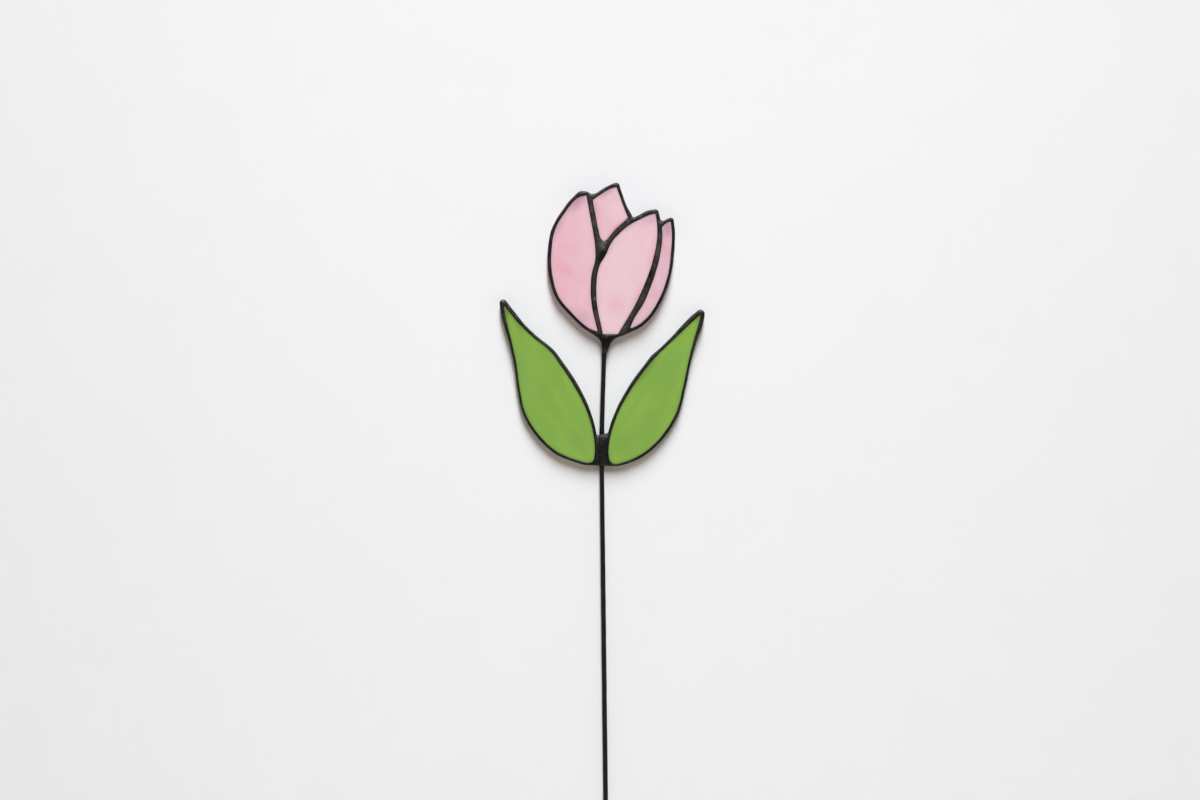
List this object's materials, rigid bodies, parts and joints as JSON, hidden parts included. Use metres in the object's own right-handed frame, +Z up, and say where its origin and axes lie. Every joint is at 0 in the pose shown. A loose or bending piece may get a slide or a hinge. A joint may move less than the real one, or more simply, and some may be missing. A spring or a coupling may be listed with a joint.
{
  "type": "stained glass flower stake",
  "caption": "Flat stained glass tulip: pink petals and green leaves in dark solder on a thin, slightly bent rod, with a plain cut end.",
  "frame": {"origin": "centre of the rod's flat cut lower end", "axes": "+Z up along the straight lower stem, +X to the right of someone facing the flower's front, -Y out of the front; all the glass lies in the plane Y = 0"},
  "size_m": [0.1138, 0.0046, 0.3913],
  "materials": {
    "pink_glass_left": "opalescent sheet glass, streaky pink, smooth",
    "pink_glass_back": "opalescent sheet glass, streaky pink, smooth",
    "pink_glass_front": "opalescent sheet glass, streaky pink, smooth",
    "pink_glass_right": "opalescent sheet glass, streaky pink, smooth",
    "green_glass": "opalescent sheet glass, wispy yellow green, smooth",
    "copper_foil": "thin adhesive copper foil, burnished",
    "black_patina_solder": "hand-run solder bead with black patina, semi-matt",
    "blackened_rod": "tinned steel rod with black patina, semi-matt"
  },
  "bodies": {
    "root": {"foil_leaf_left": "copper_foil", "foil_leaf_right": "copper_foil", "foil_petal_back": "copper_foil", "foil_petal_front": "copper_foil", "foil_petal_left": "copper_foil", "foil_petal_right": "copper_foil", "leaf_left": "green_glass", "leaf_right": "green_glass", "petal_back": "pink_glass_back", "petal_front": "pink_glass_front", "petal_left": "pink_glass_left", "petal_right": "pink_glass_right", "rim_leaf_left": "black_patina_solder", "rim_leaf_right": "black_patina_solder", "rim_petal_back": "black_patina_solder", "rim_petal_front": "black_patina_solder", "rim_petal_left": "black_patina_solder", "rim_petal_right": "black_patina_solder", "seam_back_front": "black_patina_solder", "seam_front_right": "black_patina_solder", "seam_left_back": "black_patina_solder", "seam_left_front": "black_patina_solder", "solder_calyx": "black_patina_solder", "solder_leaf_joint": "black_patina_solder", "solder_petal_junction": "black_patina_solder", "stem_rod": "blackened_rod"}
  },
  "joints": []
}
